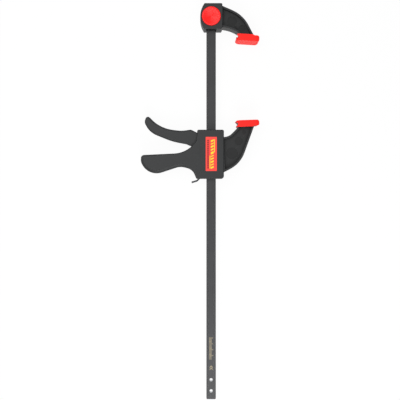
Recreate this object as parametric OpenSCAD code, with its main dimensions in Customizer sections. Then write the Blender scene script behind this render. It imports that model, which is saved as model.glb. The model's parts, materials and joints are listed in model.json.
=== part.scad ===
// One-handed quick release bar clamp, lying flat on its side.
// Clamp frame: X across the bar from its centre line, +X towards the jaws; Y along the
// bar, +Y towards the fixed jaw; Z through the thickness. Each jaw is drawn with Y = 0
// on the plane where its pad meets the work, then put in its place.

/* [Bar] */
// Length of the steel bar
bar_len = 665; // [500:1:900]
// Width of the bar
bar_w = 16; // [14:0.5:18]
// Thickness of the bar
bar_t = 5; // [4.5:0.25:6]
// Rounding of the bar's long edges
bar_edge = 1.2; // [0.5:0.1:2]
// Rounding of the bar's end corners
bar_corner = 1.5; // [0.5:0.1:4]
// Diameter of the locking holes near both ends
hole_d = 5.6; // [5:0.1:6]
// From an end of the bar to its first locking hole
hole_end = 14; // [11:0.5:18]
// From the first locking hole to the second
hole_pitch = 19; // [12:0.5:26]

/* [Jaws] */
// Gap between the two pads as the clamp lies
opening = 133.2; // [60:1:300]
// From the bar's centre line to the middle of the pads
reach = 61; // [58:0.5:70]
// Width of the jaw arms' edge flanges
arm_t = 22; // [18:0.5:24]
// Thickness of the jaw arms' web
web_t = 8; // [5:0.5:12]
// Thickness of the jaw arms' edge flanges
flange_t = 3.2; // [2.5:0.1:4]
// Depth of the round moulding marks in the webs
mark_depth = 0.6; // [0.3:0.1:1]

/* [Fixed jaw] */
// Width of the head that holds the bar's end
head_w = 37.4; // [37:0.2:42]
// Height of the head along the bar
head_h = 43.4; // [43:0.2:50]
// Thickness of the head
head_t = 28; // [27:0.5:32]
// From the pad's face up to the underside of the head
head_gap = 20.4; // [18:0.2:24]
// Radius of the head's bulging back
head_back_r = 38; // [36:0.5:60]
// Height of the fixed arm's underside above the pad's face
fixed_arm_low = 25; // [23:0.5:28]
// Height of the fixed arm's shoulder
fixed_arm_high = 45; // [42:0.2:47]
// Toe-in of the fixed pad, in degrees
fixed_toe_in = 3.5; // [0:0.5:4]

/* [Quick change button] */
// Diameter of the red button
button_d = 32; // [28:0.5:33]
// Thickness of the button at its rim
button_t = 3.5; // [3:0.1:4.5]
// How far the button stands out of the head
button_proud = 1.5; // [0.5:0.1:3]
// Depth of the dish in the button's face
button_dish = 0.8; // [0.3:0.1:1.2]
// Travel of the button
button_travel = 4; // [3.4:0.1:4.4]
// Diameter of the lock pin
lock_pin_d = 5; // [4:0.1:5.4]
// Thickness of the lock plate behind the bar
lock_plate_t = 2; // [1.5:0.1:2.4]
// Thickness of the cap over the lock plate
cap_t = 2.2; // [1.6:0.1:2.6]

/* [Moving jaw body] */
// From the pad's face down to the top of the body
body_drop = 16.3; // [14:0.1:20]
// Height of the body along the bar
body_h = 83; // [76:0.5:100]
// Thickness of the two covers together
body_t = 28; // [27:0.5:32]
// Body width on the trigger's side of the bar's edge
body_left_gap = 15.5; // [14:0.5:18]
// Thickness of the covers' side walls
wall = 2.5; // [2:0.1:3]
// Thickness of the covers' faces
face_wall = 3; // [2.5:0.1:3.4]
// Height of the guide blocks above and below the mechanism
guide_h = 9; // [8.4:0.1:9.5]
// Thickness of the frame's spine beside the pivot
spine_t = 3.7; // [3.5:0.1:6]
// From the body's foot up to the seat of the drive spring
seat_rise = 28.7; // [28.4:0.1:29]
// Thickness of the spring seat across the body
seat_t = 3.5; // [3:0.1:4]
// Height of the moving arm's upper edge below the pad's face
moving_arm_high = 28.6; // [26:0.1:30]
// Depth of the moving arm's heel below the pad's face
moving_arm_low = 73.8; // [70:0.1:76]
// Toe-in of the moving pad, in degrees
moving_toe_in = 2; // [0:0.5:4]
// Width of the label on the front cover
label_w = 18.7; // [15:0.1:24]
// Length of the label
label_h = 57.4; // [40:0.1:62]
// From the body's top down to the label
label_drop = 12.2; // [8:0.1:20]

/* [Grip] */
// From the bar's centre line to the end of the grip
grip_reach = 120; // [110:0.5:130]
// From the body's top down to the grip's upper edge at its end
grip_drop = 42.8; // [42:0.1:48]
// Depth of the grip's butt, to the corner of its rounding
grip_butt = 37.1; // [32:0.1:40]
// Rounding of the grip's lower edge
grip_round = 6; // [3:0.5:8]

/* [Trigger] */
// From the bar's centre line to the tip of the trigger
trigger_reach = 113.9; // [106:0.1:120]
// Height of the trigger's tip above the body's top
trigger_rise = 26; // [20:0.1:30]
// Width of the trigger under the fingers
trigger_t = 18; // [16:0.5:19]
// Rounding of the trigger's edges
trigger_round = 3; // [1.5:0.5:4]
// From the body's top down to the trigger's pivot
pivot_drop = 18.8; // [18.6:0.1:19.4]
// From the bar's edge to the pivot
pivot_gap = 4.7; // [4.6:0.1:5.2]
// Diameter of the pivot pin
pivot_d = 5; // [4:0.1:5.4]
// Wall of the trigger's hub round the pivot
hub_wall = 2; // [1.8:0.1:2.2]
// Thickness of the trigger's cheeks beside the bar
cheek_t = 5; // [4:0.1:5.4]

/* [Drive and brake] */
// Thickness of a drive plate
plate_t = 3; // [2.5:0.1:3]
// Margin of a drive plate round the bar
plate_rim = 5; // [4:0.1:5.5]
// Wire of the springs round the bar
wire = 1.2; // [0.9:0.1:1.2]
// Pitch of the drive spring's turns
drive_pitch = 2.9; // [2.6:0.1:3.6]
// Pitch of the lever spring's turns
lever_pitch = 2.6; // [2.3:0.1:3.2]
// Thickness of the release lever's strip
lever_t = 2.5; // [2:0.1:2.8]
// Tilt of the release lever at rest, in degrees
lever_tilt = 3; // [2:0.5:3]
// How far the lever's thumb tip reaches out from the bar's centre line
lever_reach = 31.6; // [28:0.2:38]
// How far the thumb tip hangs below the body
lever_hang = 9; // [7:0.1:12]

/* [Pads] */
// Length of a pad
pad_len = 40; // [38:0.5:44]
// Width of a pad
pad_w = 36; // [33:0.5:40]
// Height of a pad
pad_h = 11; // [10.5:0.1:13]
// Corner radius of a pad's face
pad_corner = 8; // [4:0.5:9]
// Thickness of rubber under the toe plate
pad_sole = 4; // [3:0.1:4.6]
// Thickness of rubber beside and beyond the toe plate
pad_side = 3; // [2.5:0.1:3.4]
// Thickness of the arm's toe plate
toe_t = 3.5; // [3:0.1:4]

/* [Screws] */
// Thread diameter of the cover screws
screw_d = 3; // [2.5:0.1:3.2]
// Head diameter of the cover screws
screw_head_d = 6; // [5.5:0.1:6.2]

/* [Clearances] */
// Gap round the bar where it slides
slide_fit = 0.2; // [0.15:0.05:0.3]
// Gap between moving pieces inside the body
run_gap = 0.4; // [0.3:0.05:0.5]
// Gap between pieces that are put together by hand
loose_fit = 0.3; // [0.2:0.05:0.4]
// Radial gap of the pivot pin in its bores
pin_fit = 0.05; // [0.02:0.01:0.08]

/* [Hidden] */

black = "#46484a";
steel = "#5a5b5c";
plated = "#b9bcc0";
red = "#ff3a32";

eps = 0.01;
facet = 0.05;
round_steps = 5;
rim_core = 0.4;
plate_count = 3;

// Fixed jaw, from its own pad plane.
head_left = -head_w / 2;
head_right = head_w / 2;
head_top = head_gap + head_h;
button_y = head_gap + head_h / 2;
bar_top = button_y + hole_end;
button_face = head_t / 2 + button_proud;
button_under = button_face - button_t;
button_floor = bar_t / 2 + slide_fit + 2;
button_hub = 1;
leg_gap = 1;
leg_t = 3;
leg_w = 9;
leg_rim = 1.2;
plate_face = -bar_t / 2 - slide_fit;
plate_back = plate_face - lock_plate_t;
leg_in = bar_w / 2 + leg_gap;
leg_out = leg_in + leg_t;
leg_foot = 1.3;
leg_barb = 0.8;
lock_plate_w = bar_w + 2 * (leg_gap + leg_t + leg_rim);
lock_plate_h = leg_w + 2 * leg_rim;
cap_r = norm([lock_plate_w / 2, lock_plate_h / 2]) + 1;
cap_face = -head_t / 2 + cap_t;
lock_pin_h = button_travel - 0.6;
dish_r = (pow(button_d / 2 - 1.5, 2) + pow(button_dish, 2)) / (2 * button_dish);
button_coil_r = 6.3;
button_wire = 0.9;
button_pitch = 2.5;
mouth_w = 8;
mouth_deep = 5;
mouth_wall = 4.5;

// Moving jaw, from its own pad plane.
body_top = -body_drop;
body_foot = body_top - body_h;
body_left = -bar_w / 2 - body_left_gap;
hub_r = pivot_d / 2 + pin_fit + hub_wall;
pivot = [bar_w / 2 + pivot_gap, body_top - pivot_drop];
spine_x = pivot.x + hub_r + run_gap;
body_right = spine_x + spine_t;
cavity_z = body_t / 2 - face_wall;
guide_top = body_top - wall - eps;
guide_low = guide_top - guide_h;
foot_low = body_foot + wall + eps;
foot_top = foot_low + guide_h;
seat_top = body_foot + seat_rise;
seat_low = seat_top - seat_t;
frame_left = body_left + wall + run_gap;
frame_right = body_right - wall - eps;
fulcrum = [bar_w / 2 + 7.5, seat_low - 2.1];
arm_root = moving_arm_low + 15;
mouth_x = -62;
lever_w = 14;
lever_gap = 0.15;
lever_fit = 0.35;
label_sink = 0.3;
screw_head_h = 2;

// Trigger: the cheeks straddle the bar and push the drive plates with their nose.
cheek_in = bar_t / 2 + 0.6;
nose = [-bar_w / 2 - 3, pivot.y - 13.5];
block_end = -bar_w / 2 - 5;
plate_rest = nose.y - loose_fit;
plates_low = plate_rest - plate_count * plate_t;
plates_x = bar_w / 2 + plate_rim;
plates_z = bar_t / 2 + plate_rim + 1;
coil_r = norm([bar_w / 2, bar_t / 2]) + 0.25 + wire / 2;

// Pads and toe plates, from the middle of the pad's face.
pad_heel = -pad_len / 2;
pad_tip = pad_len / 2;
pad_step = 1.4;
toe_heel = pad_heel + 3.5;
toe_tip = pad_tip - pad_side - loose_fit;
toe_w = pad_w - 2 * (pad_side + loose_fit);
toe_top = pad_sole + toe_t;
arm_toe = 13;

// Screws: two through the upper guide, one through the lower, two in the grip.
boss_r = 3.5;
boss_len = 4.8;
core_screws = [[-bar_w / 2 - 6.3, guide_top - guide_h / 2],
    [bar_w / 2 + 6.3, guide_top - guide_h / 2],
    [bar_w / 2 + 6.3, foot_low + guide_h / 2]];
neck_screw = [body_left - 12.5, body_top - grip_drop - 9.5];
butt_screw = [15 - grip_reach, body_top - grip_drop - 14.5];
grip_screws = [neck_screw, butt_screw];

// Round moulding marks in the arms' webs: [x, y, radius].
fixed_marks = [[reach - 25.5, button_y - 6.5, 8.2], [reach - 8.2, button_y - 18.8, 5.6]];
moving_marks = [[reach - 25.4, body_top - 39.7, 9.7], [reach - 14, body_top - 18.8, 6.8],
    [reach - 4.9, body_top - 3.3, 3.2]];

// The whole clamp stands over the middle of its own footprint.
half_x = (reach + pad_tip - grip_reach) / 2;
half_y = (head_top + bar_top - bar_len) / 2;
shift = [-half_x, -half_y, pad_w / 2];

// Outlines. A corner is [x, y, fillet radius, edge rounding]; outlines run anticlockwise.
function xy(c) = [c[0], c[1]];
function unit(v) = v / norm(v);
function left_of(v) = [-v.y, v.x];
function turned(v, a) = [v.x * cos(a) - v.y * sin(a), v.x * sin(a) + v.y * cos(a)];
function turn(u, v) = atan2(u.x * v.y - u.y * v.x, u * v);
function at(list, i) = list[(i + len(list)) % len(list)];

// The points of one filleted corner, each with its outward normal and edge rounding.
function fillet(a, b, c) =
    let (u = unit(xy(b) - xy(a)), v = unit(xy(c) - xy(b)), bend = turn(u, v))
    let (side = bend < 0 ? -1 : 1, r = b[2], out = -left_of(u))
    let (centre = xy(b) - u * r * tan(abs(bend) / 2) - side * r * out)
    let (steps = max(1, ceil(abs(bend) / (2 * acos(1 - facet / max(r, facet))))))
    [for (i = [0:steps]) let (n = turned(out, bend * i / steps)) [centre + side * r * n, n, b[3]]];

function rim(corners) =
    [for (i = [0:len(corners) - 1])
        each fillet(at(corners, i - 1), corners[i], at(corners, i + 1))];

function edge(corners) = [for (p = rim(corners)) p[0]];

// The same outline moved in by d, with its fillets kept parallel and never below least.
function inset(corners, d, least = 0.4) =
    [for (i = [0:len(corners) - 1])
        let (b = corners[i])
        let (u = unit(xy(b) - xy(at(corners, i - 1))), v = unit(xy(at(corners, i + 1)) - xy(b)))
        let (m = left_of(u) + left_of(v), side = turn(u, v) < 0 ? -1 : 1)
        let (p = xy(b) + m * d / (1 + left_of(u) * left_of(v)))
        [p.x, p.y, max(b[2] - side * d, least), b[3]]];

// A strip of thickness t along a bent path of corners.
function beside(path, d) =
    [for (i = [0:len(path) - 1])
        let (b = path[i], a = path[max(i - 1, 0)], c = path[min(i + 1, len(path) - 1)])
        let (v0 = xy(c) - xy(b), u0 = xy(b) - xy(a))
        let (u = unit(norm(u0) > 0 ? u0 : v0), v = unit(norm(v0) > 0 ? v0 : u0))
        let (m = left_of(u) + left_of(v), side = turn(u, v) < 0 ? -1 : 1)
        let (p = xy(b) + m * d / (1 + left_of(u) * left_of(v)))
        [p.x, p.y, b[2] > 0 ? max(b[2] - side * d, 0.4) : 0.3, 0]];

function strip(path, t) =
    let (near = beside(path, -t / 2), far = beside(path, t / 2))
    concat(near, [for (i = [len(far) - 1:-1:0]) far[i]]);

module plate(corners, z0, z1) {
    translate([0, 0, z0]) linear_extrude(z1 - z0) polygon(edge(corners));
}

module block(x0, x1, y0, y1, z0, z1) {
    translate([x0, y0, z0]) cube([x1 - x0, y1 - y0, z1 - z0]);
}

// A moulded slab from z0 to z1: a rim whose edges are rounded by each corner's fourth
// value, closed by a flat core. The upper edge is rounded, or both.
module moulded(corners, z0, z1, both = false) {
    pts = rim(corners);
    n = len(pts);
    arcs = [for (k = [0:round_steps]) k * 90 / round_steps];
    function upper(p) = [for (a = arcs) [p[2] * (1 - cos(a)), z1 - p[2] * (1 - sin(a))]];
    function lower(p) = both
        ? [for (k = [round_steps:-1:0]) let (q = upper(p)[k]) [q[0], z0 + z1 - q[1]]]
        : [[0, z0]];
    function section(p) = concat(lower(p), upper(p), [[p[2] + rim_core, z1], [p[2] + rim_core, z0]]);
    m = len(section(pts[0]));
    polyhedron(
        points = [for (p = pts) for (q = section(p))
            let (f = p[0] - p[1] * q[0]) [f.x, f.y, q[1]]],
        faces = [for (i = [0:n - 1], k = [0:m - 1])
            let (a = i * m, b = (i + 1) % n * m, l = (k + 1) % m)
                [a + k, a + l, b + l, b + k]],
        convexity = 8);
    translate([0, 0, z0]) linear_extrude(z1 - z0)
        polygon([for (p = pts) p[0] - p[1] * (p[2] + rim_core / 2)]);
}

// A coil spring of round wire along +Z, from z0 to z1 over its wire, with flat ends and
// as many turns as its pitch allows.
module coil(r, w, z0, z1, pitch) {
    sides = 6;
    per_turn = 16;
    flat_end = 0.7;
    climb = z1 - z0 - w;
    turns = max(1, round(climb / pitch));
    steps = ceil((turns + 2 * flat_end) * per_turn);
    function height(t) = z0 + w / 2 + climb * min(max((t - flat_end) / turns, 0), 1);
    rings = [for (i = [0:steps]) let (t = i / per_turn, a = 360 * t)
        [for (s = [0:sides - 1]) let (b = 360 * s / sides)
            [(r + w / 2 * cos(b)) * cos(a), (r + w / 2 * cos(b)) * sin(a),
                height(t) + w / 2 * sin(b)]]];
    polyhedron(
        points = [for (ring = rings) each ring],
        faces = concat(
            [[for (s = [0:sides - 1]) s]],
            [for (k = [0:steps - 1], s = [0:sides - 1])
                [k * sides + s, (k + 1) * sides + s, (k + 1) * sides + (s + 1) % sides,
                    k * sides + (s + 1) % sides]],
            [[for (s = [sides - 1:-1:0]) steps * sides + s]]),
        convexity = 8);
}

module on_fixed() {
    translate(shift) children();
}

module on_moving() {
    translate(shift - [0, opening, 0]) children();
}

// Puts a pad or toe plate on its jaw: X out along the pad, -Y into the jaw.
module at_toe(toe_in) {
    translate([reach, 0, 0]) rotate([0, 0, toe_in]) children();
}

// The gap round the bar, from y0 to y1.
module bar_slot(y0, y1, fit) {
    block(-bar_w / 2 - fit, bar_w / 2 + fit, y0, y1, -bar_t / 2 - fit, bar_t / 2 + fit);
}

function box_corners(x0, x1, y0, y1, r) = [[x0, y0, r, 0], [x1, y0, r, 0], [x1, y1, r, 0], [x0, y1, r, 0]];

module bar() color(steel) on_fixed() difference() {
    intersection() {
        translate([0, bar_top, 0]) rotate([90, 0, 0])
            plate(box_corners(-bar_w / 2, bar_w / 2, -bar_t / 2, bar_t / 2, bar_edge), 0, bar_len);
        plate(box_corners(-bar_w / 2, bar_w / 2, bar_top - bar_len, bar_top, bar_corner),
            -bar_t, bar_t);
    }
    for (end = [0, 1], d = [hole_end, hole_end + hole_pitch])
        translate([0, bar_top - (end == 0 ? d : bar_len - d), -bar_t])
            cylinder(d = hole_d, h = 2 * bar_t, $fn = 48);
}

// ---- Fixed jaw ----

head_outline = [
    [head_left, head_gap + 8.5, 1, 0], [head_left + 5.7, head_gap, 1, 0],
    [head_right - 1.5, head_gap, 0.8, 0], [head_right, head_gap + 1.8, 0.8, 0],
    [head_right, head_top, 2, 0], [head_left, head_top, 1, 0]];

fixed_arm = [
    [head_right - 9, fixed_arm_low - 0.9, 1, 0], [reach - 30.2, fixed_arm_low + 0.2, 57, 0],
    [reach - 13, pad_h + 2.1, 2, 0], [reach - 14.5, toe_top - 1, 0.5, 0],
    [reach + arm_toe, toe_top - 1, 0.5, 0], [reach - 7.2, fixed_arm_high, 56, 0],
    [head_right - 4, head_top - 1.8, 1, 0]];

// The I-section of a jaw arm: a web inside a rim of flanges, with moulding marks.
module arm(corners, root_x, marks) difference() {
    plate(corners, -arm_t / 2, arm_t / 2);
    for (side = [0, 1]) mirror([0, 0, side]) {
        intersection() {
            plate(inset(corners, flange_t, 1), web_t / 2, arm_t);
            block(root_x, reach * 2, -reach * 2, reach * 2, 0, arm_t);
        }
        for (m = marks) translate([m[0], m[1], web_t / 2 - mark_depth])
            cylinder(r = m[2], h = arm_t, $fn = 64);
    }
}

// The flat plate at an arm's end that a pad slides over.
module toe_plate() rotate([90, 0, 0])
    plate(box_corners(toe_heel, toe_tip, -toe_w / 2, toe_w / 2, pad_corner - pad_side - loose_fit),
        pad_sole, toe_top);

module fixed_jaw() color(black) on_fixed() difference() {
    union() {
        intersection() {
            plate(head_outline, -head_t / 2, head_t / 2);
            translate([head_left + 0.2 + head_back_r, button_y - 0.6, -head_t])
                cylinder(r = head_back_r, h = 2 * head_t, $fn = 180);
        }
        arm(fixed_arm, head_right + 0.5, fixed_marks);
        at_toe(-fixed_toe_in) mirror([0, 1, 0]) toe_plate();
    }
    bar_slot(head_gap - 1, bar_top + loose_fit, loose_fit);
    // Cored-out slots in front of the bar, either side of a rib.
    for (side = [-1, 1]) translate([side * (1 + mouth_w / 2), 0, 0])
        block(-mouth_w / 2, mouth_w / 2, head_gap - 1, head_gap + mouth_deep,
            bar_t / 2, head_t / 2 - mouth_wall);
    translate([0, button_y, 0]) {
        translate([0, 0, button_floor]) cylinder(d = button_d + 2 * loose_fit, h = head_t, $fn = 96);
        translate([0, 0, -head_t]) cylinder(r = cap_r + loose_fit / 2, h = head_t + cap_face, $fn = 96);
        block(-lock_plate_w / 2 - run_gap, lock_plate_w / 2 + run_gap, -lock_plate_h / 2 - run_gap,
            lock_plate_h / 2 + run_gap, cap_face - eps, plate_face);
        for (side = [0, 1]) mirror([side, 0, 0])
            block(bar_w / 2, leg_out + run_gap, -leg_w / 2 - run_gap, leg_w / 2 + run_gap,
                plate_back, button_floor + eps);
    }
}

module head_cap() color(black) on_fixed()
    translate([0, button_y, -head_t / 2]) cylinder(r = cap_r, h = cap_t, $fn = 96);

// The two legs that reach past the bar and clip into the lock plate.
module legs(fit) for (side = [0, 1]) mirror([side, 0, 0])
    block(leg_in - fit, leg_out + fit, -leg_w / 2 - fit, leg_w / 2 + fit,
        plate_back - leg_foot, button_under + eps);

module release_button() color(red) on_fixed() translate([0, button_y, 0]) {
    difference() {
        rotate_extrude($fn = 96) polygon([[0, button_under], [button_d / 2, button_under],
            [button_d / 2, button_face - 0.7], [button_d / 2 - 0.7, button_face], [0, button_face]]);
        translate([0, 0, button_face + dish_r - button_dish]) sphere(r = dish_r, $fn = 180);
        translate([0, 0, button_under - 1]) cylinder(r = button_coil_r + 1.5, h = 1 + button_hub, $fn = 64);
    }
    legs(0);
    for (side = [0, 1]) mirror([side, 0, 0])
        block(leg_in, leg_out + leg_barb, -leg_w / 2, leg_w / 2, plate_back - leg_foot, plate_back);
}

module lock_plate() color(plated) on_fixed() translate([0, button_y, 0]) difference() {
    plate(box_corners(-lock_plate_w / 2, lock_plate_w / 2, -lock_plate_h / 2, lock_plate_h / 2, 1.5),
        plate_back, plate_face);
    legs(0.1);
    translate([0, 0, plate_back - 1]) cylinder(d = lock_pin_d - 1, h = lock_plate_t + 2, $fn = 48);
}

// The pin's shank is riveted into the plate, its shoulder stands in the bar's hole.
module lock_pin() color(plated) on_fixed() translate([0, button_y, 0]) {
    translate([0, 0, plate_face]) cylinder(d = lock_pin_d, h = slide_fit + lock_pin_h, $fn = 48);
    translate([0, 0, plate_back]) cylinder(d = lock_pin_d - 1, h = lock_plate_t + eps, $fn = 48);
}

module button_spring() color(plated) on_fixed() translate([0, button_y, 0])
    coil(button_coil_r, button_wire, button_floor, button_under + button_hub, button_pitch);

// ---- Pads ----

pad_profile = [
    [pad_heel + 2, -pad_h, 1, 0], [0.24 * pad_len, -pad_h, 1, 0],
    [0.27 * pad_len, pad_step - pad_h, 1, 0], [pad_tip, pad_step - pad_h, 3.5, 0],
    [pad_tip, 0, 1.2, 0], [pad_heel, 0, 1.2, 0],
    [pad_heel, -2, 0.8, 0], [pad_heel + 4, 1 - pad_sole - toe_t / 2, 0.8, 0],
    [pad_heel + 4, -1 - pad_sole - toe_t / 2, 0.8, 0], [pad_heel + 2, 1.5 - pad_h, 0.6, 0]];

module pad() difference() {
    intersection() {
        plate(pad_profile, -pad_w / 2, pad_w / 2);
        rotate([90, 0, 0]) plate([[pad_heel, -pad_w / 2, pad_corner, 0],
            [pad_tip, -pad_w / 2, pad_corner - 2, 0], [pad_tip, pad_w / 2, pad_corner - 2, 0],
            [pad_heel, pad_w / 2, pad_corner, 0]], -1, pad_h + 1);
    }
    rotate([90, 0, 0])
        plate(box_corners(pad_heel - pad_len, pad_tip - pad_side, pad_side - pad_w / 2,
            pad_w / 2 - pad_side, pad_corner - pad_side), pad_sole - loose_fit, toe_top + loose_fit);
    block(pad_heel - 1, arm_toe + 1, -pad_h - 1, -toe_top, -arm_t / 2 - loose_fit,
        arm_t / 2 + loose_fit);
}

module fixed_pad() color(red) on_fixed() at_toe(-fixed_toe_in) mirror([0, 1, 0]) pad();

module moving_pad() color(red) on_moving() at_toe(moving_toe_in) pad();

// ---- Moving jaw ----

moving_arm = [
    [body_right - 1, -arm_root, 1, 0], [reach - 11.4, -moving_arm_low, 51, 0],
    [reach + arm_toe - 2.9, -pad_h - 3.1, 6, 0], [reach + arm_toe, 1 - toe_top, 0.5, 0],
    [reach - 16, 1 - toe_top, 0.5, 0], [reach - 16.5, -pad_h - 2.4, 2, 0],
    [reach - 31.5, -moving_arm_high, 22, 0], [spine_x + 0.3, -moving_arm_high, 1, 0]];

// The arm and, between the covers, the frame that guides the bar and seats the springs.
module moving_jaw() color(black) on_moving() difference() {
    union() {
        arm(moving_arm, body_right + 0.5, moving_marks);
        block(spine_x, body_right, -arm_root, -moving_arm_high, -cavity_z, cavity_z);
        block(frame_left, spine_x + eps, seat_low, seat_top, -cavity_z, cavity_z);
        block(fulcrum.x - 1, fulcrum.x + 1, fulcrum.y + 1, seat_low + eps, -lever_w / 2, lever_w / 2);
        translate([fulcrum.x, fulcrum.y + 1, -lever_w / 2]) cylinder(r = 1, h = lever_w, $fn = 32);
        intersection() {
            plate(inset(cover_outline, wall + eps), -cavity_z, cavity_z);
            union() {
                block(frame_left, frame_right, guide_low, guide_top, -cavity_z, cavity_z);
                block(bar_w / 2, frame_right, -moving_arm_high - 0.5, guide_low + eps,
                    -cavity_z, cavity_z);
                block(-bar_w / 2 - 3.5, frame_right, foot_low, foot_top, -cavity_z, cavity_z);
                block(spine_x - 2, frame_right, foot_low, 1 - arm_root, -cavity_z, cavity_z);
            }
        }
    }
    bar_slot(foot_low - 1, guide_top + 1, slide_fit);
    for (s = core_screws) translate([s.x, s.y, 0]) {
        cylinder(d = screw_d + 0.4, h = 4 * cavity_z, center = true, $fn = 32);
        for (side = [0, 1]) mirror([0, 0, side])
            translate([0, 0, cavity_z - boss_len - loose_fit])
                cylinder(r = boss_r + loose_fit, h = boss_len + 1, $fn = 48);
    }
}

cover_outline = [
    [body_left - 1.7, body_foot, 2.5, 1.2], [body_right, body_foot, 5, 1.5],
    [body_right, body_top, 2.5, 1.5], [body_left, body_top, 2.5, 1.5],
    [body_left - 1.6, body_top - 20, 10, 1.5],
    [body_left - 21.5, body_top - grip_drop + 3.5, 46, 2],
    [1.8 - grip_reach, body_top - grip_drop, 5.5, 3.5],
    [-grip_reach, body_top - grip_drop - 10.4, 14, grip_round],
    [13.3 - grip_reach, body_top - grip_drop - grip_butt, 27.5, grip_round],
    [body_left - 29.2, body_foot + 20.8, 26.5, grip_round],
    [body_left - 8.3, body_foot + 15.9, 17.5, grip_round / 2]];

// One moulded cover, drawn as the front one, from the parting plane out to +Z.
module cover() {
    difference() {
        moulded(cover_outline, 0, body_t / 2);
        difference() {
            intersection() {
                plate(inset(cover_outline, wall), -1, cavity_z);
                union() {
                    block(mouth_x, body_right, body_foot, body_top, -1, cavity_z);
                    block(15 - grip_reach + 2 * boss_r, mouth_x - 4, body_foot, body_top, -1, cavity_z);
                }
            }
            for (s = grip_screws) translate([s.x, s.y, -2]) cylinder(r = boss_r, h = body_t, $fn = 48);
        }
        // Where the trigger swings in, the jaw and the bar pass and the lever hangs out.
        block(mouth_x, frame_left, body_top - grip_drop - 2.7, body_top - wall, -1,
            trigger_t / 2 + run_gap);
        block(spine_x, body_right + 1, -arm_root - slide_fit, slide_fit - moving_arm_high, -1, cavity_z);
        bar_slot(body_foot - 1, body_top + 1, loose_fit);
        block(body_left, -bar_w / 2 - 4, body_foot - 1, foot_top, -1, lever_w / 2 + run_gap);
        translate([pivot.x, pivot.y, 0]) cylinder(d = pivot_d + 2 * pin_fit, h = cavity_z + 1.5, $fn = 48);
    }
    for (s = core_screws) translate([s.x, s.y, cavity_z - boss_len])
        cylinder(r = boss_r, h = boss_len + eps, $fn = 48);
}

module screw_holes(d, top) for (s = concat(core_screws, grip_screws))
    translate([s.x, s.y, -1]) cylinder(d = d, h = top + 1, $fn = 32);

module front_cover() color(black) on_moving() difference() {
    cover();
    screw_holes(screw_d + 2 * pin_fit, cavity_z - 1 + eps);
    label_shape(body_t / 2 - label_sink, body_t);
}

module rear_cover() color(black) on_moving() mirror([0, 0, 1]) difference() {
    cover();
    screw_holes(screw_d + 0.4, body_t);
    for (s = concat(core_screws, grip_screws)) translate([s.x, s.y, body_t / 2 - screw_head_h - 0.3])
        cylinder(d = screw_head_d + 0.6, h = body_t, $fn = 48);
}

module cover_screws() color(plated) on_moving() mirror([0, 0, 1])
    for (s = concat(core_screws, grip_screws)) translate([s.x, s.y, 0]) difference() {
        union() {
            translate([0, 0, 2 - cavity_z]) cylinder(d = screw_d, h = cavity_z + body_t / 2 - 3, $fn = 32);
            translate([0, 0, body_t / 2 - screw_head_h - 0.3])
                cylinder(d = screw_head_d, h = screw_head_h, $fn = 48);
        }
        for (a = [0, 90]) rotate([0, 0, a])
            block(-1.8, 1.8, -0.45, 0.45, body_t / 2 - 1.3, body_t / 2);
    }

module label_shape(z0, z1)
    plate(box_corners(-label_w / 2, label_w / 2, body_top - label_drop - label_h,
        body_top - label_drop, 0.6), z0, z1);

module label() color(red) on_moving() label_shape(body_t / 2 - label_sink, body_t / 2 + 0.2);

// ---- Trigger and drive ----

tip = [-trigger_reach, body_top + trigger_rise];

trigger_outline = [
    [tip.x, tip.y - 13, 10.7, trigger_round], [tip.x + 9.6, tip.y - 30.5, 34, trigger_round],
    [body_left - 43.3, body_top - 19.7, 111, trigger_round],
    [body_left - 18.7, body_top - 24.4, 10, trigger_round],
    [body_left - 11.9, body_top - 27.4, 4, 1], [block_end, body_top - 29.8, 1, 0.5],
    [block_end, guide_low - 1.4, 1, 0.5], [body_left + 2.7, guide_low - 1.2, 1, 0.5],
    [body_left - 0.5, body_top - 4.9, 1.5, 1], [body_left - 10.8, body_top + 0.6, 6.3, trigger_round],
    [body_left - 26.8, body_top - 1.9, 58, trigger_round],
    [tip.x + 26.3, body_top + 2.9, 62, trigger_round],
    [tip.x + 4.8, tip.y, 4.2, trigger_round]];

cheek = [
    [nose.x - 2.5, nose.y, 1.5, 0], [nose.x + 2.5, nose.y, 1.5, 0],
    [pivot.x + 1, pivot.y - hub_r + 0.5, 0.5, 0], [pivot.x, pivot.y + hub_r - 0.3, 0.5, 0],
    [block_end - 2, guide_low - 1.8, 0.5, 0]];

module trigger() color(black) on_moving() difference() {
    union() {
        moulded(trigger_outline, -trigger_t / 2, trigger_t / 2, both = true);
        for (side = [0, 1]) mirror([0, 0, side]) {
            plate(cheek, cheek_in, cheek_in + cheek_t);
            translate([pivot.x, pivot.y, cheek_in]) cylinder(r = hub_r, h = cheek_t, $fn = 48);
        }
    }
    translate([pivot.x, pivot.y, 0])
        cylinder(d = pivot_d + 2 * pin_fit, h = 2 * body_t, center = true, $fn = 48);
}

module trigger_pin() color(plated) on_moving() translate([pivot.x, pivot.y, 0])
    cylinder(d = pivot_d, h = 2 * cavity_z + 2.8, center = true, $fn = 48);

module drive_plate(i) color(plated) on_moving() translate([0, plate_rest - (i - 1) * plate_t, 0])
    rotate([90, 0, 0]) difference() {
        plate(box_corners(-plates_x, plates_x, -plates_z, plates_z, 1.5), 0, plate_t);
        plate(box_corners(-bar_w / 2 - slide_fit, bar_w / 2 + slide_fit, -bar_t / 2 - slide_fit,
            bar_t / 2 + slide_fit, 0.3), -1, plate_t + 1);
    }

module drive_spring() color(plated) on_moving() rotate([-90, 0, 0])
    coil(coil_r, wire, seat_top, plates_low, drive_pitch);

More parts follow.
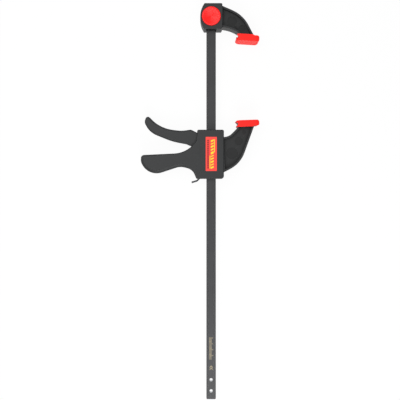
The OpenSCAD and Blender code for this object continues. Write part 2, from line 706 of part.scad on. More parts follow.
// The release lever tilts about the fulcrum; drawn level, then tilted to its rest.
lever_y = fulcrum.y - lever_gap - lever_t / 2;
lever_path = [
    [fulcrum.x + 1.6, lever_y, 0], [-bar_w / 2 - 8, lever_y, 3],
    [-bar_w / 2 - 8.5, body_foot + 1.2, 4], [-bar_w / 2 - 14.5, body_foot + 3.3 - lever_hang, 5],
    [-lever_reach, body_foot - lever_hang, 0]];

module release_lever() color(steel) on_moving()
    translate([fulcrum.x, fulcrum.y, 0]) rotate([0, 0, -lever_tilt]) translate([-fulcrum.x, -fulcrum.y, 0])
        difference() {
            plate(strip(lever_path, lever_t), -lever_w / 2, lever_w / 2);
            bar_slot(lever_y - lever_t, lever_y + lever_t, lever_fit);
        }

module lever_spring() color(plated) on_moving() rotate([-90, 0, 0])
    coil(coil_r, wire, foot_top, lever_y - lever_t / 2 + 0.2, lever_pitch);

bar();
fixed_jaw();
head_cap();
release_button();
lock_plate();
lock_pin();
button_spring();
fixed_pad();
moving_jaw();
front_cover();
rear_cover();
cover_screws();
label();
moving_pad();
trigger();
trigger_pin();
for (i = [1:plate_count])
    drive_plate(i);
drive_spring();
release_lever();
lever_spring();
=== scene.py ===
import json
from math import cos, pi, radians, sin

import bmesh
import bpy
from mathutils import Matrix, Vector

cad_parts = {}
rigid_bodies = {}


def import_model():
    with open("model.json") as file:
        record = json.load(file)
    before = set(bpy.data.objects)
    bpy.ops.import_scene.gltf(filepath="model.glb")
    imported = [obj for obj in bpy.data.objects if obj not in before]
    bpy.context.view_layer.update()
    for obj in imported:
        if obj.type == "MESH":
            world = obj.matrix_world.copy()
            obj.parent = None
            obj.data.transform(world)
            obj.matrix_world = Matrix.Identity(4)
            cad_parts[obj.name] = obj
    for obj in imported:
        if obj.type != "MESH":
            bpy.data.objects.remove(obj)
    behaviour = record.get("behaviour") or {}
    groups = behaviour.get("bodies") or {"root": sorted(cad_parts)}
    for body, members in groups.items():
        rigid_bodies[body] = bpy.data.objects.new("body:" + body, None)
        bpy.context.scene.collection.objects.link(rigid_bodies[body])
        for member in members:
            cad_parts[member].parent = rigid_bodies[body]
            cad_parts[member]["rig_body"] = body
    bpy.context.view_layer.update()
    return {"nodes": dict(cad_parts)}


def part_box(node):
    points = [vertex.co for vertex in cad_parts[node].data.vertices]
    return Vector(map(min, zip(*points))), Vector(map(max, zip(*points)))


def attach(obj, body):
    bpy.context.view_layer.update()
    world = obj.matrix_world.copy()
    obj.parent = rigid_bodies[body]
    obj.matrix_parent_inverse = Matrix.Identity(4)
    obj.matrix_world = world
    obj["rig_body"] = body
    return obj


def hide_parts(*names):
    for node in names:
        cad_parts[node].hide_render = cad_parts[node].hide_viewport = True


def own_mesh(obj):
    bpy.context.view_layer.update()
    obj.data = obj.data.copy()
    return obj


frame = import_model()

# ---- Bar ----
# A flat bar of cold-drawn steel, blackened by hot oxide and oiled, with its long edges
# rounded in the drawing. Both ends are punched with two locking holes, and near the foot
# a laser has burnt a short setting scale through the oxide.

steel_black = "#3a3a3b"
steel_worn = "#4f5051"
steel_bare = "#d4d6d8"
scale_tan = "#bcae8e"
drawing_line = 0.0006
drawing_run = 0.09
oil_cloud = 0.035
beam_mottle = 0.0012


def linear(hex_colour):
    """The sRGB colour that a finish is written in, as the linear values a node takes."""
    parts = [int(hex_colour[i:i + 2], 16) / 255 for i in (1, 3, 5)]
    return (*[p / 12.92 if p < 0.04045 else ((p + 0.055) / 1.055) ** 2.4 for p in parts], 1)


def add(tree, kind, inputs=None, **settings):
    """Adds a node with its settings, and its inputs as values or as the sockets that feed them."""
    made = tree.nodes.new(kind)
    for name, value in settings.items():
        setattr(made, name, value)
    for socket, value in (inputs or {}).items():
        if isinstance(value, bpy.types.NodeSocket):
            tree.links.new(value, made.inputs[socket])
        else:
            made.inputs[socket].default_value = value
    return made


def finish(name):
    """A bare material: its node tree and the place on the piece in metres."""
    material = bpy.data.materials.new(name)
    material.use_nodes = True
    material.node_tree.nodes.clear()
    place = add(material.node_tree, "ShaderNodeTexCoord").outputs["Object"]
    return material, material.node_tree, place


def close(tree, shader):
    """Ends a material with the shader that gives its surface."""
    add(tree, "ShaderNodeOutputMaterial", {"Surface": shader.outputs["BSDF"]})


def dressed(node, name, material, edge=0.0003, steps=2, crease=34, reshape=None):
    """A piece made from its solid: closed, its outer edges rounded by reshape or else broken
    where both sides have room for it, its curves shaded round."""
    weld = 2e-6
    same_plane = radians(0.4)
    shade_past_crease = 8
    mesh = frame["nodes"][node].data.copy()
    mesh.name = name
    bm = bmesh.new()
    bm.from_mesh(mesh)
    bmesh.ops.remove_doubles(bm, verts=bm.verts, dist=weld)
    bmesh.ops.dissolve_limit(bm, angle_limit=same_plane, verts=bm.verts, edges=bm.edges)
    rounded = reshape(bm) if reshape else set()
    broken = bm.faces.layers.float.new("broken_edge")
    sharp = [e for e in bm.edges
             if e.is_manifold and e.is_convex and e.calc_face_angle() > radians(crease)
             and not rounded.intersection(e.verts)
             and min(face.calc_area() for face in e.link_faces) > 2 * edge * e.calc_length()]
    made = bmesh.ops.bevel(bm, geom=sharp, offset=edge, offset_type="OFFSET", segments=steps,
                           profile=0.5, affect="EDGES", clamp_overlap=False, material=-1)
    for face in made["faces"]:
        face[broken] = 1
    for face in bm.faces:
        face.smooth = True
    bm.to_mesh(mesh)
    bm.free()
    mesh.materials.clear()
    mesh.materials.append(material)
    mesh.set_sharp_from_angle(angle=radians(crease + shade_past_crease))
    piece = bpy.data.objects.new(name, mesh)
    bpy.context.scene.collection.objects.link(piece)
    even = piece.modifiers.new("flat_faces", "WEIGHTED_NORMAL")
    even.keep_sharp = True
    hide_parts(node)
    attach(piece, frame["nodes"][node]["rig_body"])
    return piece


# Hot-oxide steel: a dull grey-black metal with faint drawing lines along the bar, oily
# clouds a few centimetres long, steel showing thinly at rubbed edges, and bare punched holes.
oxide, tree, place = finish("black_oxide_steel")
lengthwise = add(tree, "ShaderNodeMapping", {
    "Vector": place, "Scale": (1 / drawing_line, 1 / drawing_run, 1 / drawing_line)})
drawn = add(tree, "ShaderNodeTexNoise", {"Vector": lengthwise.outputs["Vector"], "Scale": 1, "Detail": 3})
clouds = add(tree, "ShaderNodeTexNoise", {
    "Vector": place, "Scale": 1 / oil_cloud, "Detail": 4, "Roughness": 0.6})
tone = add(tree, "ShaderNodeMath", {
    0: drawn.outputs["Fac"], 1: 0.45, 2: clouds.outputs["Fac"]}, operation="MULTIPLY_ADD")
spread = add(tree, "ShaderNodeMapRange", {
    "Value": tone.outputs[0], "From Min": 0.45, "From Max": 1.0, "To Min": 0, "To Max": 0.5})
edge_wear_and_highlight = add(tree, "ShaderNodeAttribute", attribute_name="broken_edge")
wear_and_edge_highlight = add(tree, "ShaderNodeMath", {
    0: edge_wear_and_highlight.outputs["Fac"], 1: 0.5, 2: spread.outputs[0]}, operation="MULTIPLY_ADD")
skin = add(tree, "ShaderNodeMix", {
    0: wear_and_edge_highlight.outputs[0], 6: linear(steel_black), 7: linear(steel_worn)}, data_type="RGBA")
punched = add(tree, "ShaderNodeAttribute", attribute_name="punched")
colour = add(tree, "ShaderNodeMix", {
    0: punched.outputs["Fac"], 6: skin.outputs[2], 7: linear(steel_bare)}, data_type="RGBA")
dull = add(tree, "ShaderNodeMapRange", {"Value": clouds.outputs["Fac"], "To Min": 0.42, "To Max": 0.6})
lines = add(tree, "ShaderNodeBump", {"Height": drawn.outputs["Fac"], "Strength": 0.12, "Distance": 0.0001})
close(tree, add(tree, "ShaderNodeBsdfPrincipled", {
    "Base Color": colour.outputs[2], "Metallic": 0.85, "Roughness": dull.outputs[0],
    "Normal": lines.outputs[0]}))

level_face = 0.9
hole_half = 0.004
holes_from, holes_to = 0.004, 0.048
bar = dressed("bar", "steel_bar", oxide, edge=0.00025)
bar_low, bar_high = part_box("bar")
bar_x = (bar_low.x + bar_high.x) / 2
bare = bar.data.attributes.new("punched", "FLOAT", "FACE")
for face in bar.data.polygons:
    near_foot = holes_from < face.center.y - bar_low.y < holes_to
    if near_foot and abs(face.center.x - bar_x) < hole_half and abs(face.normal.z) < level_face:
        bare.data[face.index].value = 1


def placed(bm, name, material):
    """A piece that takes the shape worked on so far, with its material."""
    mesh = bpy.data.meshes.new(name)
    bm.to_mesh(mesh)
    bm.free()
    mesh.materials.append(material)
    piece = bpy.data.objects.new(name, mesh)
    bpy.context.scene.collection.objects.link(piece)
    return piece


def film(name, shapes, face_z, material, body, sunk=0.00001, thick=0.00003):
    """Flat marks a few hundredths of a millimetre thick on a face that looks up, from their corners."""
    bm = bmesh.new()
    for corners in shapes:
        face = bm.faces.new([bm.verts.new((x, y, face_z - sunk)) for x, y in corners])
        raised = bmesh.ops.extrude_face_region(bm, geom=[face])
        top = [part for part in raised["geom"] if isinstance(part, bmesh.types.BMVert)]
        bmesh.ops.translate(bm, verts=top, vec=(0, 0, thick))
    bmesh.ops.recalc_face_normals(bm, faces=bm.faces)
    piece = placed(bm, name, material)
    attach(piece, body)


def slanted(x0, x1, y0, y1, lean=0):
    """Corners of a mark from x0 to x1 and y0 to y1, whose x1 side is pushed along Y by lean."""
    return [(x0, y0), (x1, y0 + lean), (x1, y1 + lean), (x0, y1)]


# Laser-burnt steel: the oxide is boiled off in a dull tan, mottled where the beam overlapped.
burnt, tree, place = finish("laser_burnt_steel")
mottle = add(tree, "ShaderNodeTexNoise", {"Vector": place, "Scale": 1 / beam_mottle, "Detail": 2})
amount = add(tree, "ShaderNodeMapRange", {
    "Value": mottle.outputs["Fac"], "From Min": 0.3, "From Max": 0.7, "To Min": 0.45, "To Max": 1})
colour = add(tree, "ShaderNodeMix", {
    0: amount.outputs[0], 6: linear(steel_black), 7: linear(scale_tan)}, data_type="RGBA")
close(tree, add(tree, "ShaderNodeBsdfPrincipled", {
    "Base Color": colour.outputs[2], "Metallic": 0.2, "Roughness": 0.65}))

scale_top, scale_pitch, scale_marks = 0.1045, 0.002, 19
tick_left, tick_half = bar_x - 0.0034, 0.0004
long_tick, short_tick, long_every = 0.0068, 0.0044, 5
chevron_from, chevron_pitch = 0.0495, 0.0036
chevron_half, chevron_rise, chevron_stroke = 0.0026, 0.003, 0.0016

marks = []
for i in range(scale_marks):
    reach = short_tick if i % long_every else long_tick
    y = bar_low.y + scale_top - i * scale_pitch
    marks.append(slanted(tick_left, tick_left + reach, y - tick_half, y + tick_half))
for i in (0, 1):
    y = bar_low.y + chevron_from + i * chevron_pitch
    lower = [(bar_x - chevron_half, y), (bar_x, y + chevron_rise), (bar_x + chevron_half, y)]
    marks.append(lower + [(x, y + chevron_stroke) for x, y in reversed(lower)])
film("setting_scale", marks, bar_high.z, burnt, "bar_and_head")

# ---- Fixed jaw ----
# The head that holds the bar's end and the arm that carries the upper pad, moulded in one
# from glass-filled nylon. The arm is a web between edge flanges, with round ejector marks.

nylon_black = "#1e1f20"
# The pale colour serves both the random flecks and the painted highlight on the nylon's edges.
nylon_pale = "#2c2e2f"
# The next colour is painted shade for the arms' pockets and the floors of their ejector marks.
pocket_painted_shade = "#0a0c0d"
nylon_flow = 0.022
nylon_grain = 0.0007

# Black glass-filled nylon, spark-textured in the mould: an even, slightly grey satin black
# with a fine pebble grain, faint flow clouds, and a painted highlight that makes its edges a little paler.
# The arms' pockets get painted shade, darkest on the floors of their ejector marks.
nylon, tree, place = finish("moulded_black_nylon")
flow = add(tree, "ShaderNodeTexNoise", {
    "Vector": place, "Scale": 1 / nylon_flow, "Detail": 3, "Distortion": 0.8})
pebble = add(tree, "ShaderNodeTexNoise", {
    "Vector": place, "Scale": 1 / nylon_grain, "Detail": 2, "Roughness": 0.6})
fleck = add(tree, "ShaderNodeMath", {
    0: pebble.outputs["Fac"], 1: 0.35, 2: flow.outputs["Fac"]}, operation="MULTIPLY_ADD")
spread = add(tree, "ShaderNodeMapRange", {
    "Value": fleck.outputs[0], "From Min": 0.4, "From Max": 0.95, "To Min": 0, "To Max": 0.45})
# Painted highlight: the nylon's broken edges are mixed a little towards the pale colour.
edge_wear_and_highlight = add(tree, "ShaderNodeAttribute", attribute_name="broken_edge")
wear_and_edge_highlight = add(tree, "ShaderNodeMath", {
    0: edge_wear_and_highlight.outputs["Fac"], 1: 0.3, 2: spread.outputs[0]}, operation="MULTIPLY_ADD")
skin = add(tree, "ShaderNodeMix", {
    0: wear_and_edge_highlight.outputs[0], 6: linear(nylon_black), 7: linear(nylon_pale)}, data_type="RGBA")
# Painted shade: the faces marked as pocket are mixed towards the dark pocket colour.
sunk = add(tree, "ShaderNodeAttribute", attribute_name="pocket")
colour = add(tree, "ShaderNodeMix", {
    0: sunk.outputs["Fac"], 6: skin.outputs[2], 7: linear(pocket_painted_shade)}, data_type="RGBA")
dull = add(tree, "ShaderNodeMapRange", {"Value": flow.outputs["Fac"], "To Min": 0.46, "To Max": 0.6})
grain = add(tree, "ShaderNodeBump", {"Height": pebble.outputs["Fac"], "Strength": 0.22, "Distance": 0.00012})
close(tree, add(tree, "ShaderNodeBsdfPrincipled", {
    "Base Color": colour.outputs[2], "Roughness": dull.outputs[0], "Specular IOR Level": 0.4,
    "Normal": grain.outputs[0]}))


def mark_pocket_shade(piece, web_face=0.004, slack=0.0002, level=0.9, web_shade_share=0.5):
    """Marks the faces in an arm's pockets for painted shade: the web by a share, the sunk marks in it in
    full.
    """
    pocket = piece.data.attributes.new("pocket", "FLOAT", "FACE")
    middle = (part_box("bar")[0].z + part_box("bar")[1].z) / 2
    for face in piece.data.polygons:
        off = abs(face.center.z - middle)
        if abs(face.normal.z) > level and off < web_face + slack:
            pocket.data[face.index].value = web_shade_share if off > web_face - slack else 1


# The arm's pockets are marked for painted shade.
mark_pocket_shade(dressed("fixed_jaw", "fixed_jaw_moulding", nylon))
dressed("head_cap", "head_cap_disc", nylon, edge=0.0006)

# ---- Quick change button ----
# A round press button of glossy red plastic with a shallow dish, moulded in a turned
# cavity. Two legs carry a zinc-plated lock plate and pin, and a coil pushes it out.

button_red = "#f80f0a"
button_shade = "#f00d08"
button_flow = 0.012
zinc = "#b4b7ba"
zinc_dull = "#8f9396"
zinc_milk = 0.004
tool_line, tool_run = 0.0004, 0.004
turning = 0.0006
button_low, button_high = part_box("release_button")
button_mid = (button_low + button_high) / 2

# Glossy red ABS from a turned mould: fine rings round the middle draw the light out into
# a streak and wedges across the dish. A wave node turns 20 radians in a unit, so that the
# rings stand twice the turning apart.
abs_red, tree, place = finish("glossy_red_abs")
centred = add(tree, "ShaderNodeVectorMath", {
    0: place, 1: (button_mid.x, button_mid.y, 0)}, operation="SUBTRACT")
spot = add(tree, "ShaderNodeSeparateXYZ", {0: centred.outputs[0]})
flat = add(tree, "ShaderNodeCombineXYZ", {0: spot.outputs["X"], 1: spot.outputs["Y"]})
rings = add(tree, "ShaderNodeTexWave", {
    "Vector": flat.outputs[0], "Scale": 1 / (turning * 20 / pi), "Distortion": 0.4, "Detail": 1},
            wave_type="RINGS", rings_direction="SPHERICAL")
tint = add(tree, "ShaderNodeTexNoise", {"Vector": place, "Scale": 1 / button_flow, "Detail": 2})
colour = add(tree, "ShaderNodeMix", {
    0: tint.outputs["Fac"], 6: linear(button_red), 7: linear(button_shade)}, data_type="RGBA")
turned = add(tree, "ShaderNodeBump", {"Height": rings.outputs["Fac"], "Strength": 0.06, "Distance": 0.00004})
round_way = add(tree, "ShaderNodeVectorMath", {
    0: flat.outputs[0], 1: (0, 0, 1)}, operation="CROSS_PRODUCT")
along_rings = add(tree, "ShaderNodeVectorMath", {0: round_way.outputs[0]}, operation="NORMALIZE")
close(tree, add(tree, "ShaderNodeBsdfPrincipled", {
    "Base Color": colour.outputs[2], "Roughness": 0.34, "IOR": 1.46, "Normal": turned.outputs[0],
    "Anisotropic": 0.8, "Tangent": along_rings.outputs[0]}))

# Bright zinc plate on steel: a cool pale metal with a little milkiness and fine tool lines.
plated, tree, place = finish("zinc_plated_steel")
milk = add(tree, "ShaderNodeTexNoise", {"Vector": place, "Scale": 1 / zinc_milk, "Detail": 3})
fine = add(tree, "ShaderNodeMapping", {
    "Vector": place, "Scale": (1 / tool_line, 1 / tool_run, 1 / tool_line)})
tooling = add(tree, "ShaderNodeTexNoise", {"Vector": fine.outputs["Vector"], "Scale": 1})
colour = add(tree, "ShaderNodeMix", {
    0: milk.outputs["Fac"], 6: linear(zinc), 7: linear(zinc_dull)}, data_type="RGBA")
dull = add(tree, "ShaderNodeMapRange", {"Value": milk.outputs["Fac"], "To Min": 0.22, "To Max": 0.42})
scored = add(tree, "ShaderNodeBump", {"Height": tooling.outputs["Fac"], "Strength": 0.1, "Distance": 0.0001})
close(tree, add(tree, "ShaderNodeBsdfPrincipled", {
    "Base Color": colour.outputs[2], "Metallic": 1, "Roughness": dull.outputs[0],
    "Normal": scored.outputs[0]}))

dressed("release_button", "press_button", abs_red, edge=0.0003, steps=3)
dressed("lock_plate", "lock_plate_steel", plated, edge=0.0002)
dressed("lock_pin", "lock_pin_steel", plated, edge=0.0004)


def wound(node, name, wire, turns, turn_to, flat_end=0.7, around=24, wire_sides=12):
    """A coil spring of round wire with flat ends, wound where its solid stands."""
    low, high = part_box(node)
    middle, size = (low + high) / 2, high - low
    axis = 2 if turn_to is None else 1
    radius = (max(size.x, size.y if axis == 2 else size.z) - wire) / 2
    tall = size[axis]
    bm = bmesh.new()
    start = Matrix.Translation((radius, 0, wire / 2)) @ Matrix.Rotation(pi / 2, 4, "X")
    bmesh.ops.create_circle(bm, cap_ends=True, segments=wire_sides, radius=wire / 2, matrix=start)
    geom = list(bm.verts) + list(bm.edges) + list(bm.faces)
    for part, rise in ((flat_end, 0), (turns, tall - wire), (flat_end, 0)):
        steps = round(part * around)
        spun = bmesh.ops.spin(bm, geom=geom, cent=(0, 0, 0), axis=(0, 0, 1), angle=2 * pi * part,
                              dvec=(0, 0, rise / steps), steps=steps, use_merge=False,
                              use_duplicate=False)
        geom = spun["geom_last"]
    bmesh.ops.remove_doubles(bm, verts=bm.verts, dist=1e-6)
    bmesh.ops.recalc_face_normals(bm, faces=bm.faces)
    bmesh.ops.translate(bm, verts=bm.verts, vec=(0, 0, -tall / 2))
    if turn_to is not None:
        bmesh.ops.rotate(bm, verts=bm.verts, cent=(0, 0, 0), matrix=Matrix.Rotation(turn_to, 3, "X"))
    bmesh.ops.translate(bm, verts=bm.verts, vec=middle)
    for face in bm.faces:
        face.smooth = True
    piece = placed(bm, name, plated)
    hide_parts(node)
    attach(piece, frame["nodes"][node]["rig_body"])
    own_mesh(piece)


wound("button_spring", "button_coil", 0.0009, 3, None)

# ---- Moving jaw ----
# A frame moulded in one with its arm guides the bar and seats the springs. Like the fixed
# jaw it is black glass-filled nylon, and its round ejector marks shrink towards the pad.
# Its toe plate, which the pad slides over, is a flat plate across the end of the arm.

toe_middle, toe_in = Vector((0.0805, 0.13935, 0.018)), radians(2)
toe_heel, toe_tip, toe_half, toe_corner = -0.0165, 0.0167, 0.0147, 0.0047
toe_sole, toe_top = -0.004, -0.0075
toe_edge, corner_steps = 0.0003, 8

# Its pockets are marked for the same painted shade.
mark_pocket_shade(dressed("moving_jaw", "moving_jaw_moulding", nylon))

bm = bmesh.new()
outline = []
for x, z, start in ((toe_tip, toe_half, 0), (toe_heel, toe_half, 90),
                    (toe_heel, -toe_half, 180), (toe_tip, -toe_half, 270)):
    for step in range(corner_steps + 1):
        turn = radians(start + step * 90 / corner_steps)
        corner = bm.verts.new((x - toe_corner * (1 if x > 0 else -1) + toe_corner * cos(turn), toe_sole,
                               z - toe_corner * (1 if z > 0 else -1) + toe_corner * sin(turn)))
        outline.append(corner)
raised = bmesh.ops.extrude_face_region(bm, geom=[bm.faces.new(outline)])
top = [part for part in raised["geom"] if isinstance(part, bmesh.types.BMVert)]
bmesh.ops.translate(bm, verts=top, vec=(0, toe_top - toe_sole, 0))
flat_edges = [e for e in bm.edges if len({round(v.co.y, 5) for v in e.verts}) == 1]
bmesh.ops.bevel(bm, geom=flat_edges, offset=toe_edge, offset_type="OFFSET", segments=2,
                profile=0.5, affect="EDGES", material=-1)
bmesh.ops.recalc_face_normals(bm, faces=bm.faces)
bmesh.ops.rotate(bm, verts=bm.verts, cent=(0, 0, 0), matrix=Matrix.Rotation(toe_in, 3, "Z"))
bmesh.ops.translate(bm, verts=bm.verts, vec=toe_middle)
toe_plate = placed(bm, "moving_jaw_toe_plate", nylon)
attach(toe_plate, "sliding_jaw")

# ---- Drive plates, springs and release lever ----
# Three punched steel plates ride the bar with a little play: tilted by the trigger they
# bite and push. The bent lever below bites the other way and holds until a thumb lifts it.

lever_dark = "#3b3c3e"
lever_rubbed = "#77797b"
lever_scuff = 0.006

for i in (1, 2, 3):
    dressed(f"drive_plate_{i}", f"drive_plate_steel_{i}", plated, edge=0.0002)
wound("drive_spring", "drive_coil", 0.0012, 4, -pi / 2)
wound("lever_spring", "lever_coil", 0.0012, 3, -pi / 2)

# Spring steel, heat-blackened: near-black with a soft sheen, rubbed bright along its edges.
blued, tree, place = finish("blackened_spring_steel")
scuff = add(tree, "ShaderNodeTexNoise", {
    "Vector": place, "Scale": 1 / lever_scuff, "Detail": 4, "Roughness": 0.65})
edge_wear_and_highlight = add(tree, "ShaderNodeAttribute", attribute_name="broken_edge")
wear_and_edge_highlight = add(tree, "ShaderNodeMath", {0: edge_wear_and_highlight.outputs["Fac"], 1: scuff.outputs["Fac"]}, operation="MULTIPLY")
colour = add(tree, "ShaderNodeMix", {
    0: wear_and_edge_highlight.outputs[0], 6: linear(lever_dark), 7: linear(lever_rubbed)}, data_type="RGBA")
dull = add(tree, "ShaderNodeMapRange", {"Value": scuff.outputs["Fac"], "To Min": 0.35, "To Max": 0.55})
close(tree, add(tree, "ShaderNodeBsdfPrincipled", {
    "Base Color": colour.outputs[2], "Metallic": 0.9, "Roughness": dull.outputs[0]}))

dressed("release_lever", "release_lever_strip", blued, edge=0.0003)

# ---- Trigger ----
# The squeeze trigger is one solid moulding with well-rounded edges where the fingers lie.
# Its cheeks straddle the bar and hang from a plain steel pin between the covers.

dressed("trigger", "squeeze_trigger_moulding", nylon, edge=0.00045, crease=38)
dressed("trigger_pin", "trigger_pin_steel", plated, edge=0.0003)

# ---- Covers and screws ----
# Two mirrored covers form the body and the grip, moulded hollow from the same black nylon.
# Five plated cross-head screws go in from the rear and leave a fine seam round the middle.

dressed("front_cover", "front_cover_moulding", nylon, edge=0.0003, crease=38)
dressed("rear_cover", "rear_cover_moulding", nylon, edge=0.0003, crease=38)
dressed("cover_screws", "cover_screws_steel", plated, edge=0.0002)

# ---- Label ----
# A printed vinyl sticker in a shallow recess of the front cover: a red ground with slanted
# yellow bars, two yellow rules and a column of small dark red dashes.

label_red = "#ff3c2e"
label_red_deep = "#f53628"
ink_yellow = "#f2d21f"
ink_dark = "#8c100c"
glue_roll = 0.009
ink_mesh = 0.0008

# Red vinyl under a clear film: nearly flat colour, with a faint roll of the glue below it.
vinyl, tree, place = finish("red_vinyl_sticker")
roll = add(tree, "ShaderNodeTexNoise", {"Vector": place, "Scale": 1 / glue_roll, "Detail": 2})
colour = add(tree, "ShaderNodeMix", {
    0: roll.outputs["Fac"], 6: linear(label_red), 7: linear(label_red_deep)}, data_type="RGBA")
swell = add(tree, "ShaderNodeBump", {"Height": roll.outputs["Fac"], "Strength": 0.1, "Distance": 0.0003})
close(tree, add(tree, "ShaderNodeBsdfPrincipled", {
    "Base Color": colour.outputs[2], "Roughness": 0.45, "Normal": swell.outputs[0]}))

# Screen-printed inks: matt, very slightly uneven where the mesh left them thin.
inks = []
for ink_name, ink_colour in (("yellow_ink", ink_yellow), ("dark_red_ink", ink_dark)):
    ink, tree, place = finish(ink_name)
    thin = add(tree, "ShaderNodeTexNoise", {"Vector": place, "Scale": 1 / ink_mesh, "Detail": 1})
    amount = add(tree, "ShaderNodeMapRange", {
        "Value": thin.outputs["Fac"], "From Min": 0.55, "From Max": 0.9, "To Min": 0, "To Max": 0.35})
    colour = add(tree, "ShaderNodeMix", {
        0: amount.outputs[0], 6: linear(ink_colour), 7: linear(label_red)}, data_type="RGBA")
    close(tree, add(tree, "ShaderNodeBsdfPrincipled", {"Base Color": colour.outputs[2], "Roughness": 0.6}))
    inks.append(ink)
yellow, dark_red = inks

dressed("label", "label_sticker", vinyl, edge=0.00008)
label_low, label_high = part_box("label")
lx, ly = label_low.x, label_low.y
label_tall = label_high.y - label_low.y

# Across the label from its left side, and along it from its foot: the slanted bars, the two
# rules with their shares of the label's height, and the dashes.
bar_left, bar_right, bar_lean = 0.0086, 0.0134, 0.0022
bar_foot, bar_gap = 0.0035, 0.0024
bar_widths = (0.0030, 0.0018, 0.0030, 0.0024, 0.0018, 0.0040, 0.0024, 0.0030, 0.0018, 0.0030)
rules = ((0.0142, 0.0154, 0.55, 0.93), (0.0066, 0.0078, 0.07, 0.45))
dash_left, dash_right = 0.0022, 0.0056
dash_foot, dash_head, dash_gap = 0.004, 0.006, 0.0007
long_dash, short_dash = 0.0026, 0.0012

prints = []
along = bar_foot
for width in bar_widths:
    prints.append(slanted(lx + bar_left, lx + bar_right, ly + along, ly + along + width, bar_lean))
    along += width + bar_gap
for left, right, foot, head in rules:
    prints.append(slanted(lx + left, lx + right, ly + foot * label_tall, ly + head * label_tall))
film("label_bars", prints, label_high.z, yellow, "sliding_jaw")

dashes = []
along = dash_foot
while along < label_tall - dash_head:
    width = long_dash if round(along * 1e4) % 3 else short_dash
    dashes.append(slanted(lx + dash_left, lx + dash_right, ly + along, ly + along + width))
    along += width + dash_gap
film("label_dashes", dashes, label_high.z, dark_red, "sliding_jaw")

# ---- Pads ----
# Soft caps of red rubber slide over the flat toe of each jaw, and the side towards the toe
# is slotted open. They are moulded with rounded corners, and the clamping face has a rim
# that is rounder at the heel and tip than along the sides.

rubber_red = "#ff1c12"
rubber_shade = "#fa1a10"
rubber_bloom = 0.008
rubber_skin = 0.0005

# Soft thermoplastic rubber, moulded matt: saturated red whose fine bloom turns pinkish
# where the surface is seen at a slant.
rubber, tree, place = finish("soft_red_rubber")
bloom = add(tree, "ShaderNodeTexNoise", {"Vector": place, "Scale": 1 / rubber_bloom, "Detail": 3})
skin = add(tree, "ShaderNodeTexNoise", {"Vector": place, "Scale": 1 / rubber_skin, "Detail": 1})
colour = add(tree, "ShaderNodeMix", {
    0: bloom.outputs["Fac"], 6: linear(rubber_red), 7: linear(rubber_shade)}, data_type="RGBA")
matt = add(tree, "ShaderNodeBump", {"Height": skin.outputs["Fac"], "Strength": 0.03, "Distance": 0.00006})
close(tree, add(tree, "ShaderNodeBsdfPrincipled", {
    "Base Color": colour.outputs[2], "Roughness": 0.6, "Normal": matt.outputs[0],
    "Specular IOR Level": 0.3, "Sheen Weight": 0.2, "Sheen Roughness": 0.4,
    "Sheen Tint": (1, 0.5, 0.45, 1)}))

pad_long, pad_wide = 0.040, 0.036
heel_corner, tip_corner = 0.008, 0.006
end_rim, side_rim = 0.0036, 0.0012
lip_depth, lip_start = 0.0024, radians(23)
lip_cuts, rim_steps = 23, 6
hair = 0.00001


def outline_at(place):
    """How far inside a pad's outline a place lies, and which way is out from there."""
    corner = heel_corner if place.x < 0 else tip_corner
    past = Vector((abs(place.x) - pad_long / 2 + corner, abs(place.z) - pad_wide / 2 + corner))
    if min(past) > 0:
        inside, out = corner - past.length, past.normalized()
    elif past.x > past.y:
        inside, out = corner - past.x, Vector((1, 0))
    else:
        inside, out = corner - past.y, Vector((0, 1))
    return inside, Vector((out.x if place.x > 0 else -out.x, 0, out.y if place.z > 0 else -out.y))


def rounded_face(middle, turn, jaw_side):
    """Makes a pad's clamping face anew on its solid, with a rim that is rounder at the heel
    and tip than along the sides."""
    to_pad = Matrix.Rotation(-turn, 4, "Z") @ Matrix.Translation(-middle)

    def reshape(bm):
        """Cuts the solid's face off, grows the rim ring by ring and tells which corners it made."""
        bmesh.ops.transform(bm, matrix=to_pad, verts=bm.verts)
        everything = list(bm.verts) + list(bm.edges) + list(bm.faces)
        bmesh.ops.bisect_plane(bm, geom=everything, plane_co=(0, jaw_side * end_rim, 0),
                               plane_no=(0, -jaw_side, 0), clear_outer=True, dist=1e-6)
        lip = [e for e in bm.edges if e.is_boundary and e.calc_length() > pad_wide / 2
               and e.verts[0].co.x < 0 and abs(e.verts[0].co.x - e.verts[1].co.x) < hair]
        bmesh.ops.subdivide_edges(bm, edges=lip, cuts=lip_cuts)
        ring = [e for e in bm.edges if e.is_boundary]
        paths = {}
        for vert in {v for e in ring for v in e.verts}:
            inside, out = outline_at(vert.co)
            lip_share = max(0, min(1, inside / lip_depth))
            paths[vert] = (vert.co + out * inside, out, lip_start * lip_share)
        for step in range(rim_steps + 1):
            bmesh.ops.extrude_edge_only(bm, edges=ring)
            ring = [e for e in bm.edges if e.is_boundary]
            for vert in {v for e in ring for v in e.verts}:
                mother = next(e.other_vert(vert) for e in vert.link_edges if not e.is_boundary)
                foot, out, start = paths[vert] = paths[mother]
                rim = side_rim + (end_rim - side_rim) * out.x ** 2
                angle = start + (pi / 2 - start) * step / rim_steps
                vert.co = foot - out * rim * (1 - cos(angle))
                vert.co.y = jaw_side * rim * (1 - sin(angle))
        bmesh.ops.holes_fill(bm, edges=ring, sides=0)
        bmesh.ops.remove_doubles(bm, verts=bm.verts, dist=hair)
        bmesh.ops.recalc_face_normals(bm, faces=bm.faces)
        done = {vert for vert in bm.verts if jaw_side * vert.co.y < end_rim + hair}
        bmesh.ops.transform(bm, matrix=to_pad.inverted(), verts=bm.verts)
        bm.normal_update()
        return done

    return reshape


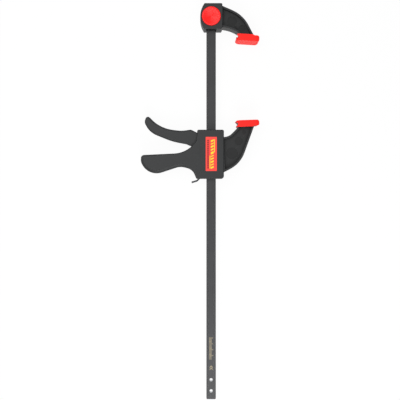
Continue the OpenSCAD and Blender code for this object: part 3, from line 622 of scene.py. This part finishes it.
fixed_middle, fixed_toe_in = Vector((toe_middle.x, 0.27255, toe_middle.z)), radians(-3.5)
for node, name, face_shape in (
        ("fixed_pad", "fixed_jaw_pad_rubber", rounded_face(fixed_middle, fixed_toe_in, 1)),
        ("moving_pad", "moving_jaw_pad_rubber", rounded_face(toe_middle, toe_in, -1))):
    dressed(node, name, rubber, edge=0.0005, steps=3, crease=31, reshape=face_shape)

# ---- Studio ----
# The clamp lies on a white table under a broad soft box, a lower light from the bar's
# foot and a pale room, and the camera looks straight down.

paper_white = "#f6f6f6"
paper_shade = "#f0f0f0"
paper_fibre = 0.003
paper_shown = 0.94
table_half, table_below = 6, 0.0004
room_light, room_shown = 0.55, 1
camera_high, focal, sensor = 0.918, 47.33, 36
axis_x, axis_y, lift = 0.0005, 0.07765, -0.1085

# Matt white paper: it shows white to the camera and in gloss, and keeps a faint shadow.
paper, tree, place = finish("white_paper")
fibre = add(tree, "ShaderNodeTexNoise", {"Vector": place, "Scale": 1 / paper_fibre, "Detail": 3})
colour = add(tree, "ShaderNodeMix", {
    0: fibre.outputs["Fac"], 6: linear(paper_white), 7: linear(paper_shade)}, data_type="RGBA")
sheet = add(tree, "ShaderNodeBsdfDiffuse", {"Color": colour.outputs[2]})
glow = add(tree, "ShaderNodeEmission", {"Color": (1, 1, 1, 1), "Strength": 1})
ray = add(tree, "ShaderNodeLightPath")
seen = add(tree, "ShaderNodeMath", {
    0: ray.outputs["Is Camera Ray"], 1: ray.outputs["Is Glossy Ray"]}, operation="MAXIMUM")
part = add(tree, "ShaderNodeMath", {0: seen.outputs[0], 1: paper_shown}, operation="MULTIPLY")
both = add(tree, "ShaderNodeMixShader", {0: part.outputs[0], 1: sheet.outputs[0], 2: glow.outputs[0]})
add(tree, "ShaderNodeOutputMaterial", {"Surface": both.outputs[0]})

bm = bmesh.new()
bmesh.ops.create_grid(bm, x_segments=1, y_segments=1, size=table_half)
bmesh.ops.translate(bm, verts=bm.verts, vec=(0, 0, -table_below))
table_top = placed(bm, "table_top", paper)

world = bpy.data.worlds.new("pale_room")
bpy.context.scene.world = world
world.use_nodes = True
world.node_tree.nodes.clear()
ray = add(world.node_tree, "ShaderNodeLightPath")
level = add(world.node_tree, "ShaderNodeMapRange", {
    "Value": ray.outputs["Is Camera Ray"], "To Min": room_light, "To Max": room_shown})
room = add(world.node_tree, "ShaderNodeBackground", {"Color": (1, 1, 1, 1), "Strength": level.outputs[0]})
add(world.node_tree, "ShaderNodeOutputWorld", {"Surface": room.outputs[0]})

for name, spot, size, power in (
        ("soft_box", (-0.55, 0.35, 1.5), 1.1, 12),
        ("foot_light", (0.1, -0.85, 1.0), 0.6, 8)):
    lamp = bpy.data.lights.new(name, "AREA")
    lamp.shape, lamp.size, lamp.energy = "SQUARE", size, power
    light = bpy.data.objects.new(name, lamp)
    light.location = spot
    light.rotation_euler = (Vector((0, 0, 0)) - Vector(spot)).to_track_quat("-Z", "Y").to_euler()
    bpy.context.scene.collection.objects.link(light)

lens = bpy.data.cameras.new("camera")
lens.lens, lens.sensor_width, lens.shift_y = focal, sensor, lift
lens.clip_start, lens.clip_end = 0.01, 50
camera = bpy.data.objects.new("camera", lens)
camera.location = (axis_x, axis_y, camera_high)
bpy.context.scene.collection.objects.link(camera)
bpy.context.scene.camera = camera
bpy.context.scene.view_settings.view_transform = "Standard"
